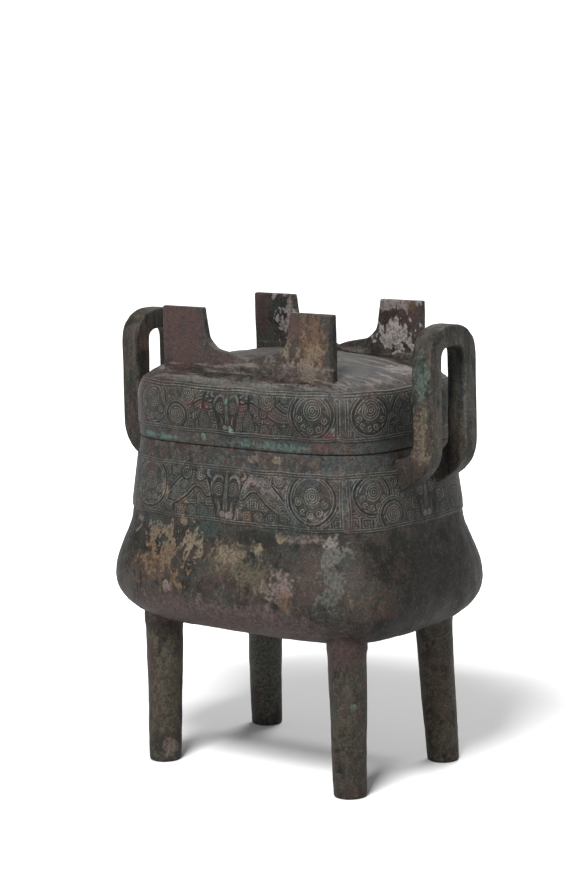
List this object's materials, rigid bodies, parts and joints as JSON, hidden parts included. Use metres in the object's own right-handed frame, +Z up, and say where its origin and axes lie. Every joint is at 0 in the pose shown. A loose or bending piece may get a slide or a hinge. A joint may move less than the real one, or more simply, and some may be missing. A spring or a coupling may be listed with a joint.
{
  "type": "lidded rectangular bronze ding vessel",
  "caption": "Lidded rectangular ritual cooking vessel in cast bronze: sagging bowl on tapering legs, upright loop handles, relief bands, and a lift-off lid with two notched flanges.",
  "frame": {"origin": "on the ground, under the middle of the bowl and of its two handles", "axes": "+Z up through the lid, +X along the long side towards one handle, +Y towards the rear long side"},
  "size_m": [0.2256, 0.1522, 0.27],
  "materials": {
    "bowl_bronze": "buried cast bronze, matt black-green and brown patina with tan, teal and reddish patches",
    "lid_bronze": "buried cast bronze, matt maroon-brown and grey patina with green and cuprite-red spots"
  },
  "bodies": {
    "root": {"vessel": "bowl_bronze", "lid": "lid_bronze"}
  },
  "joints": []
}
